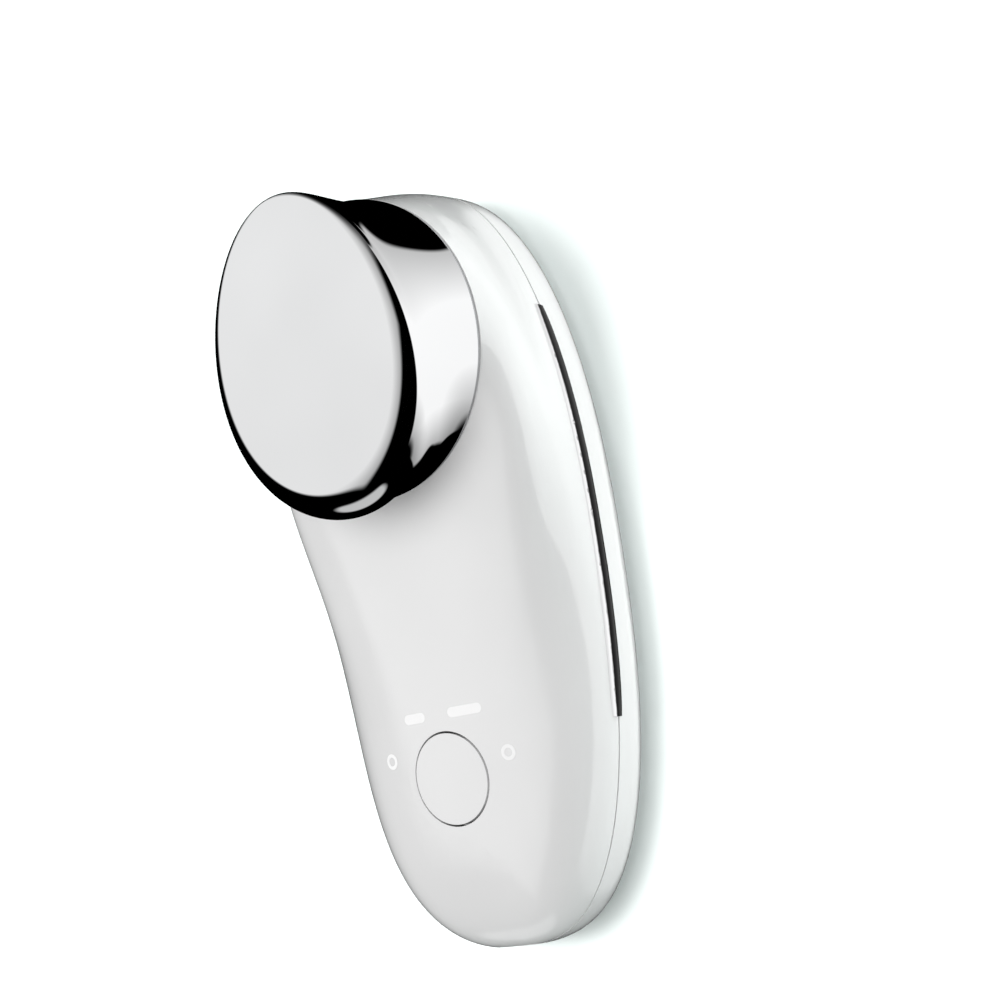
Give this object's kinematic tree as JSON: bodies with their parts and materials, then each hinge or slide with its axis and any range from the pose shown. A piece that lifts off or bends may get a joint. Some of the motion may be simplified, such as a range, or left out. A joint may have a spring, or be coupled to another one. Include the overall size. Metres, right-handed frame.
{
  "type": "face and neck massager",
  "caption": "Hand-held face and neck massager: smooth white split body with a thumb button, a chrome egg-shaped head on a raised seat, chrome side contact strips and a vibration motor inside.",
  "frame": {"origin": "on the table under the middle of the body, which lies on its back", "axes": "+Y toward the head end, +Z out of the front where the head and button are, +X to the right seen from the front"},
  "size_m": [0.0574, 0.132, 0.049],
  "materials": {
    "white_shell": "glossy injection-moulded white",
    "white_cover": "glossy injection-moulded white",
    "white_button": "glossy injection-moulded white",
    "head_chrome": "mirror-bright plated casting",
    "strip_chrome": "mirror-bright plated strip",
    "gasket_silicone": "pale silicone",
    "heater_metal": "plain sheet",
    "foam_pad": "closed-cell foam",
    "chip_black": "moulded black",
    "screw_steel": "zinc-plated",
    "inner_plastic": "natural moulded plastic",
    "motor_steel": "drawn can",
    "weight_metal": "sintered heavy metal",
    "contact_brass": "sprung sheet",
    "light_bar": "milky light guide",
    "led_body": "chip lamp",
    "board_green": "solder-masked board",
    "plunger_plastic": "moulded",
    "coil_black": "ferrite coil",
    "plug_plastic": "moulded plug",
    "socket_steel": "folded sheet",
    "tongue_black": "moulded black",
    "cell_wrap": "foil pouch",
    "plug_rubber": "soft white plug",
    "lead_sheath": "ribbon lead sheath"
  },
  "bodies": {
    "body": {"front_shell": "white_shell", "rear_cover": "white_cover", "massage_head": "head_chrome", "head_gasket": "gasket_silicone", "heater_plate": "heater_metal", "heater_pad": "foam_pad", "heat_sensor": "chip_black", "head_screws": "screw_steel", "motor_cradle": "inner_plastic", "motor_can": "motor_steel", "cradle_screws": "screw_steel", "electrode_strip_right": "strip_chrome", "electrode_strip_left": "strip_chrome", "strip_contacts": "contact_brass", "light_bar_short": "light_bar", "light_bar_long": "light_bar", "indicator_leds": "led_body", "main_board": "board_green", "board_screws": "screw_steel", "push_switch": "chip_black", "control_chip": "chip_black", "boost_coil": "coil_black", "lead_plug": "plug_plastic", "charging_socket": "socket_steel", "socket_tongue": "tongue_black", "battery_foam": "foam_pad", "battery_cell": "cell_wrap", "case_screws": "screw_steel", "screw_plugs": "plug_rubber", "battery_leads": "lead_sheath", "motor_leads": "lead_sheath", "heater_leads": "lead_sheath"},
    "button": {"button_cap": "white_button", "switch_plunger": "plunger_plastic"},
    "rotor": {"motor_shaft": "motor_steel", "eccentric_weight": "weight_metal"}
  },
  "joints": [
    {"name": "button_press", "type": "slide", "parent": "body", "child": "button", "axis": [0, 0, -1], "range_m": [0, 0.0005], "stiffness_N_per_m": 3000, "springref_m": -0.0002},
    {"name": "motor_spin", "type": "hinge", "parent": "body", "child": "rotor", "pos_m": [0, 0.03061, 0.02247], "axis": [1, 0, 0], "continuous": true}
  ]
}
